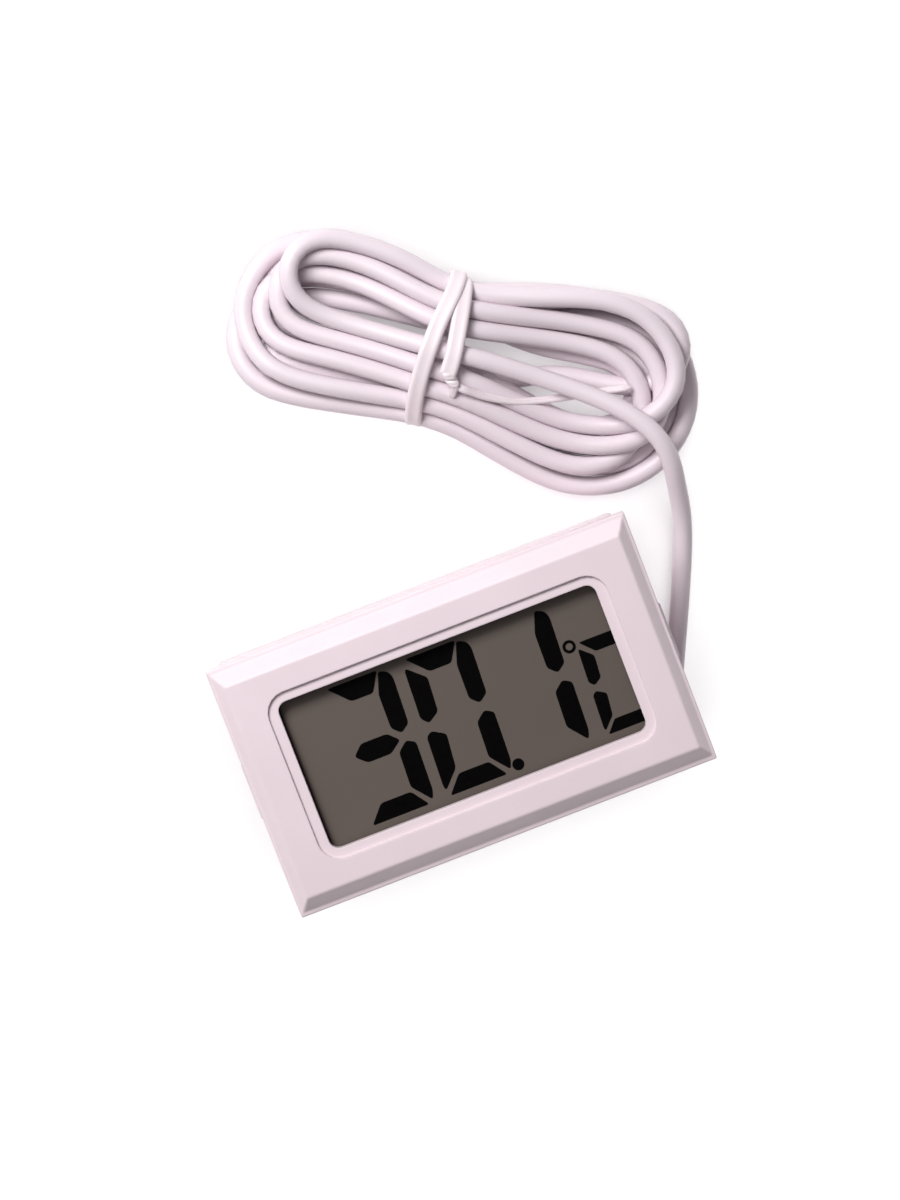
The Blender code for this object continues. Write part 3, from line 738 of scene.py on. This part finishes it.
class THERMOMETER_OT_tie(bpy.types.Operator):
    """Wrap the twist tie round the hank"""

    bl_idname = "thermometer.tie"
    bl_label = "Twist tie"

    def execute(self, context):
        width = sizes().tie_width
        shape = bmesh.new()
        wraps = smooth_route(TIE_WRAPS, 6)
        core = [
            (along, across * CORE_SHARE, min(CORE_HIGH, max(up, CORE_LOW)))
            for along, across, up in wraps
        ]
        ribbon(shape, wraps, core, width, TIE_THICK, ends=(0.3, 1.0))
        for phase, rest in ((0.0, TIE_TAIL), (math.pi, TIE_STUB)):
            route, core = twisted_end(phase, rest)
            ribbon(shape, route, core, width * END_WIDTH, END_THICK, ends=(0.4, 0.4))
        finish = plastic("tie_plastic", colours().tie, 0.1 * MM, (0.25, 0.4), specular=0.5)
        tie = new_piece("cord_tie", mesh_from(shape, "cord_tie"), finish)
        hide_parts("twist_tie")
        return {"FINISHED"}


# ---------------------------------------------------------------- display


def digit_segments(width, height, stroke):
    """The seven segments of one upright digit about its middle, as outlines."""
    w, h, s = width / 2, height / 2, stroke
    gap = 0.14 * s
    return {
        "a": [(-w + 0.2 * s, h), (w - 0.75 * s, h), (w - 1.28 * s, h - s), (-w + 1.2 * s, h - s)],
        "b": [(w - 0.72 * s, h - gap / 2), (w - 0.25 * s, h - 0.25 * s),
              (w - 0.08 * s, h - 0.6 * s), (w - 0.08 * s, 0.6 * s), (w - 0.55 * s, 0.24 * s),
              (w - s, 0.64 * s), (w - 1.05 * s, h - 1.2 * s)],
        "c": [(w - 0.48 * s, -0.2 * s), (w - 0.02 * s, -0.45 * s), (w, -h + 0.62 * s),
              (w - 0.14 * s, -h + 0.16 * s), (w - s, -h + 1.15 * s), (w - s, -0.65 * s)],
        "d": [(-w + 0.2 * s, -h), (w - 0.38 * s, -h), (w - 1.08 * s, -h + 0.92 * s),
              (-w + 0.95 * s, -h + 0.92 * s)],
        "e": [(-w + 0.3 * s, -0.22 * s), (-w + s, -0.62 * s), (-w + 0.9 * s, -h + 1.25 * s),
              (-w + 0.1 * s, -h + 0.36 * s), (-w, -h + 0.55 * s), (-w, -0.45 * s)],
        "f": [(-w + 0.08 * s, h - 0.45 * s), (-w + s, h - 1.25 * s), (-w + 0.95 * s, 0.6 * s),
              (-w + 0.35 * s, 0.2 * s), (-w, 0.55 * s), (-w, h - 0.6 * s)],
        "g": [(-w + 0.45 * s, -0.06 * s), (-w + 0.95 * s, 0.46 * s), (w - 1.3 * s, 0.46 * s),
              (w - 0.75 * s, -0.06 * s), (w - 1.4 * s, -0.55 * s), (-w + s, -0.55 * s)],
    }


DIGIT_SHAPES = {
    "0": "abcdef", "1": "bc", "2": "abged", "3": "abgcd", "4": "fgbc",
    "5": "afgcd", "6": "afgedc", "7": "abc", "8": "abcdefg", "9": "abcdfg",
}
SLANT = 0.045                       # how far a digit leans, as a share of its height
SEGMENT_THICK = 0.05 * MM
DIGIT_WIDTH, DIGIT_STROKE = 0.5, 0.137  # shares of a digit's height
DIGIT_CORNER = 0.35 * MM
FIRST_DIGIT = (-9.45 * MM, 0.02 * MM)
POINT_AFTER = 1                     # the decimal point stands by this digit, counted from nought
POINT_PLACE, POINT_RADIUS = (4.2 * MM, -7.25 * MM), 0.65 * MM   # place from its digit's middle
DEGREE_PLACE, DEGREE_RADII = (13.4, 2.7), (0.72 * MM, 0.4 * MM)
UNIT_PLACE = (17.8, -2.5)
UNIT_SIZE, UNIT_CORNER = (7.7 * MM, 10.5 * MM, 1.5 * MM), 0.25 * MM     # width, height, stroke
UNIT_SHAPE = "afed"
WINDOW_MARGIN = 0.2 * MM            # the unit mark ends this far inside the display's right edge


def circle(middle, radius, steps):
    """The points of a circle."""
    return [
        (middle[0] + radius * math.cos(turn), middle[1] + radius * math.sin(turn))
        for turn in np.linspace(0.0, 2 * math.pi, steps, endpoint=False)
    ]


def leaning(middle, outline):
    """An outline about a middle, leaning like the digits."""
    return [(middle.x + x + SLANT * y, middle.y + y) for x, y in outline]


class THERMOMETER_OT_display(bpy.types.Operator):
    """Draw the reading on the display"""

    bl_idname = "thermometer.display"
    bl_label = "Display"

    def execute(self, context):
        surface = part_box("display_polariser")[1][2]
        height, pitch = sizes().digit_height, sizes().digit_pitch
        ink = cast_resin("display_segments", colours().digits, 0.55)
        ink.node_tree.nodes["Principled BSDF"].inputs["Specular IOR Level"].default_value = 0.04
        segments = digit_segments(height * DIGIT_WIDTH, height, height * DIGIT_STROKE)
        middle = Vector(FIRST_DIGIT)
        for number, digit in enumerate(context.scene.thermometer_reading.digits):
            if digit not in DIGIT_SHAPES:
                raise RuntimeError(f"the display can't show {digit!r}")
            shape = bmesh.new()
            for letter in DIGIT_SHAPES[digit]:
                outline = rounded(leaning(middle, segments[letter]), DIGIT_CORNER)
                plate(shape, outline, surface, surface + SEGMENT_THICK)
            if number == POINT_AFTER:
                dot = circle(middle + Vector(POINT_PLACE), POINT_RADIUS, 24)
                plate(shape, dot, surface, surface + SEGMENT_THICK)
            name = f"display_digit_{number + 1}"
            new_piece(name, mesh_from(shape, name), ink)
            middle.x += pitch
        self.unit_mark(ink, surface)
        paint_node("display_polariser", display_film("display_film", colours().display))
        return {"FINISHED"}

    def unit_mark(self, ink, surface):
        """The degree ring and the C beside the last digit, which the window's edge cuts."""
        shape = bmesh.new()
        ring = Vector(DEGREE_PLACE) * MM
        loops = [
            [shape.verts.new((x, y, level)) for x, y in circle(ring, radius, 28)]
            for radius in DEGREE_RADII
            for level in (surface, surface + SEGMENT_THICK)
        ]
        outer_low, outer_high, inner_low, inner_high = loops
        for one, other in (
            (outer_low, outer_high), (outer_high, inner_high),
            (inner_high, inner_low), (inner_low, outer_low),
        ):
            join_loops(shape, one, other)
        small = digit_segments(*UNIT_SIZE)
        middle = Vector(UNIT_PLACE) * MM
        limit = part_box("display_polariser")[1][0] - WINDOW_MARGIN
        for letter in UNIT_SHAPE:
            outline = [(min(limit, x), y) for x, y in leaning(middle, small[letter])]
            plate(shape, rounded(outline, UNIT_CORNER), surface, surface + SEGMENT_THICK)
        new_piece("display_unit_mark", mesh_from(shape, "display_unit_mark"), ink)


# ---------------------------------------------------------------- case and inside


class THERMOMETER_OT_case(bpy.types.Operator):
    """Finish the moulded front, the clips, the cover and the door"""

    bl_idname = "thermometer.case"
    bl_label = "Case"

    def execute(self, context):
        front = plastic("case_plastic", colours().case, 0.14 * MM, (0.36, 0.48), rounding=0.22 * MM)
        for name in ("front_case", "clip_left", "clip_right"):
            paint_node(name, front)
        back = plastic(
            "cover_plastic", colours().cover, 0.22 * MM, (0.45, 0.6),
            rounding=0.12 * MM, depth=0.03 * MM,
        )
        for name in ("rear_cover", "battery_door"):
            paint_node(name, back)
        return {"FINISHED"}


class THERMOMETER_OT_probe(bpy.types.Operator):
    """Finish the cable gland and the probe at the cord's end"""

    bl_idname = "thermometer.probe"
    bl_label = "Gland and probe"

    def execute(self, context):
        moulded = plastic(
            "fitting_plastic", colours().cord, 0.1 * MM, (0.3, 0.42), rounding=0.1 * MM
        )
        for name in ("cable_gland", "sensor_probe", "probe_plug"):
            paint_node(name, moulded)
        return {"FINISHED"}


class THERMOMETER_OT_inside(bpy.types.Operator):
    """Finish the board, the cells, the glass and everything else inside"""

    bl_idname = "thermometer.inside"
    bl_label = "Inside"

    def execute(self, context):
        steel = metal("nickel_steel", (0.62, 0.62, 0.63), 0.28)
        brass = metal("spring_brass", (0.75, 0.62, 0.36), 0.34)
        rubber = plastic("black_rubber", (0.012, 0.012, 0.013), 0.1 * MM, (0.6, 0.8), specular=0.3)
        glass = plastic(
            "display_glass", (0.20, 0.19, 0.18), 0.5 * MM, (0.05, 0.1),
            specular=0.5, depth=0.001 * MM,
        )
        foil = metal("satin_foil", (0.55, 0.55, 0.52), 0.45)
        dark = plastic("dark_plastic", (0.03, 0.03, 0.03), 0.15 * MM, (0.4, 0.6))
        resin = cast_resin("black_epoxy", (0.01, 0.01, 0.01))
        clay = plastic("tan_ceramic", (0.42, 0.24, 0.1), 0.2 * MM, (0.5, 0.7))
        red = plastic("red_vinyl", (0.5, 0.02, 0.015), 0.1 * MM, (0.3, 0.45))
        black = plastic("black_vinyl", (0.015, 0.015, 0.015), 0.1 * MM, (0.3, 0.45))
        for finish, names in (
            (steel, ("button_cell_1", "button_cell_2", "cover_screw_1", "cover_screw_2",
                     "board_screw_1", "board_screw_2", "board_screw_3", "board_screw_4",
                     "crystal")),
            (brass, ("cell_contact_positive", "cell_contact_negative", "cell_link")),
            (rubber, ("display_gasket", "zebra_strip_upper", "zebra_strip_lower")),
            (glass, ("display_front_glass", "display_rear_glass")),
            (foil, ("display_reflector",)),
            (dark, ("display_frame",)),
            (resin, ("chip_epoxy", "resistor_1", "resistor_2", "thermistor")),
            (clay, ("capacitor",)),
            (red, ("sensor_wire_1",)),
            (black, ("sensor_wire_2",)),
            (board_mask("solder_mask", colours().board), ("circuit_board",)),
        ):
            for name in names:
                paint_node(name, finish)
        return {"FINISHED"}


# ---------------------------------------------------------------- stage


LENS, SENSOR = 150.0, 36.0
CAMERA_PLACE = (0.0060, 0.07467, 0.54579)
CAMERA_TURN = (-6.359, -2.138, -21.005)     # degrees
TABLE_HALF, TABLE_TOP = 3.0, -0.02 * MM
TABLE_SHADES = (0.9, 0.9, 0.9), (0.94, 0.94, 0.94)
LIT_POINT = (0.006, 0.02, 0.005)
# Name, direction from the lit point, distance from it, size and power
STUDIO_LIGHTS = (
    ("key_light", (-0.26, 0.70, 0.95), 0.30, 0.12, 0.90),
    ("fill_light", (-0.30, 0.35, 1.0), 0.7, 0.5, 0.7),
)
# Half of the table's light passes through the thermometer, so that its shadow stays faint:
# name, strength, and whether only the table casts shadows
TABLE_LIGHTS = (("table_light", 1.6, False), ("table_fill", 1.7, True))
TABLE_LIGHT_SPREAD = math.radians(100.0)
BRIGHT_SIDE = (-0.4, 0.7, 0.6)      # the surroundings are brightest in this direction
SKY_LOW, SKY_HIGH = (-0.7, 0.03), (1.0, 0.36)   # how far towards it, and how bright
SKY_COLOUR, BACKDROP_COLOUR = (1.0, 0.98, 0.99, 1.0), (0.9, 0.9, 0.9, 1.0)


class THERMOMETER_OT_stage(bpy.types.Operator):
    """Set up the camera, the white table and the studio light"""

    bl_idname = "thermometer.stage"
    bl_label = "Stage"

    def execute(self, context):
        scene = context.scene
        lens = bpy.data.cameras.new("camera")
        lens.lens, lens.sensor_width = LENS, SENSOR
        camera = bpy.data.objects.new("camera", lens)
        camera.location = CAMERA_PLACE
        camera.rotation_euler = [math.radians(turn) for turn in CAMERA_TURN]
        scene.collection.objects.link(camera)
        scene.camera = camera
        scene.view_settings.view_transform = "Standard"
        self.table(scene)
        self.lights(scene)
        return {"FINISHED"}

    def table(self, scene):
        """The white table, and the two groups that tell the lights what they light."""
        shape = bmesh.new()
        bmesh.ops.create_grid(shape, x_segments=1, y_segments=1, size=TABLE_HALF)
        top = bpy.data.objects.new("table_top", mesh_from(shape, "table_top"))
        top.location.z = TABLE_TOP
        finish, nodes, links, shader, place = new_material("white_table")
        cloud = noise(nodes, links, place, 0.05)
        links.new(blended(nodes, links, cloud, *TABLE_SHADES), shader.inputs["Base Color"])
        shader.inputs["Roughness"].default_value = 0.8
        shader.inputs["Specular IOR Level"].default_value = 0.1
        top.data.materials.append(finish)
        scene.collection.objects.link(top)
        # The table has an even light of its own, and the key and fill lights leave it alone
        self.only_table = bpy.data.collections.new("only_the_table")
        self.not_table = bpy.data.collections.new("all_but_the_table")
        for group, state in ((self.only_table, "INCLUDE"), (self.not_table, "EXCLUDE")):
            group.objects.link(top)
            group.collection_objects[0].light_linking.link_state = state

    def lights(self, scene):
        """The key and fill lights on the thermometer, and the table's own lights."""
        target = Vector(LIT_POINT)
        for name, direction, distance, size, power in STUDIO_LIGHTS:
            lamp = bpy.data.lights.new(name, "AREA")
            lamp.size, lamp.energy = size, power
            light = bpy.data.objects.new(name, lamp)
            light.location = target + Vector(direction).normalized() * distance
            light.rotation_euler = (target - light.location).to_track_quat("-Z", "Y").to_euler()
            light.light_linking.receiver_collection = self.not_table
            scene.collection.objects.link(light)
        for name, power, shadowless in TABLE_LIGHTS:
            lamp = bpy.data.lights.new(name, "SUN")
            lamp.energy, lamp.angle = power, TABLE_LIGHT_SPREAD
            light = bpy.data.objects.new(name, lamp)
            light.light_linking.receiver_collection = self.only_table
            if shadowless:
                light.light_linking.blocker_collection = self.only_table
            scene.collection.objects.link(light)
        self.surround(scene)

    def surround(self, scene):
        """Pale surroundings that are brighter towards the display's top left."""
        world = bpy.data.worlds.new("studio")
        world.use_nodes = True
        nodes, links = world.node_tree.nodes, world.node_tree.links
        sky = nodes["Background"]
        place = nodes.new("ShaderNodeTexCoord")
        toward = nodes.new("ShaderNodeVectorMath")
        toward.operation = "DOT_PRODUCT"
        toward.inputs[1].default_value = BRIGHT_SIDE
        links.new(place.outputs["Generated"], toward.inputs[0])
        glow = nodes.new("ShaderNodeMapRange")
        for end, (towards, strength) in (("Min", SKY_LOW), ("Max", SKY_HIGH)):
            glow.inputs["From " + end].default_value = towards
            glow.inputs["To " + end].default_value = strength
        links.new(toward.outputs["Value"], glow.inputs["Value"])
        links.new(glow.outputs["Result"], sky.inputs["Strength"])
        sky.inputs["Color"].default_value = SKY_COLOUR
        backdrop = nodes.new("ShaderNodeBackground")
        backdrop.inputs["Color"].default_value = BACKDROP_COLOUR
        seen = nodes.new("ShaderNodeLightPath")
        choice = nodes.new("ShaderNodeMixShader")
        links.new(seen.outputs["Is Camera Ray"], choice.inputs["Fac"])
        links.new(sky.outputs["Background"], choice.inputs[1])
        links.new(backdrop.outputs["Background"], choice.inputs[2])
        links.new(choice.outputs["Shader"], nodes["World Output"].inputs["Surface"])
        scene.world = world


# ---------------------------------------------------------------- add-on


BUILD_ORDER = (
    THERMOMETER_OT_stage,
    THERMOMETER_OT_cord,
    THERMOMETER_OT_tie,
    THERMOMETER_OT_probe,
    THERMOMETER_OT_display,
    THERMOMETER_OT_case,
    THERMOMETER_OT_inside,
)


class THERMOMETER_PT_panel(bpy.types.Panel):
    """Sizes, colours and the steps that build the thermometer"""

    bl_label = "Panel thermometer"
    bl_idname = "THERMOMETER_PT_panel"
    bl_space_type = "VIEW_3D"
    bl_region_type = "UI"
    bl_category = "Thermometer"

    def draw(self, context):
        layout = self.layout
        for group in (
            context.scene.thermometer_sizes,
            context.scene.thermometer_colours,
            context.scene.thermometer_reading,
        ):
            box = layout.box()
            for name in group.__annotations__:
                box.prop(group, name)
        for step in BUILD_ORDER:
            layout.operator(step.bl_idname)


GROUPS = {
    "thermometer_sizes": ThermometerSizes,
    "thermometer_colours": ThermometerColours,
    "thermometer_reading": ThermometerReading,
}


def register():
    """Add the settings, the steps and the panel to Blender."""
    for name, group in GROUPS.items():
        bpy.utils.register_class(group)
        setattr(bpy.types.Scene, name, PointerProperty(type=group))
    for step in BUILD_ORDER:
        bpy.utils.register_class(step)
    bpy.utils.register_class(THERMOMETER_PT_panel)


def unregister():
    """Take them out again."""
    bpy.utils.unregister_class(THERMOMETER_PT_panel)
    for step in reversed(BUILD_ORDER):
        bpy.utils.unregister_class(step)
    for name, group in GROUPS.items():
        delattr(bpy.types.Scene, name)
        bpy.utils.unregister_class(group)


def main():
    """Build everything in order."""
    register()
    for step in BUILD_ORDER:
        group, name = step.bl_idname.split(".")
        getattr(getattr(bpy.ops, group), name)()


if __name__ == "__main__":
    main()
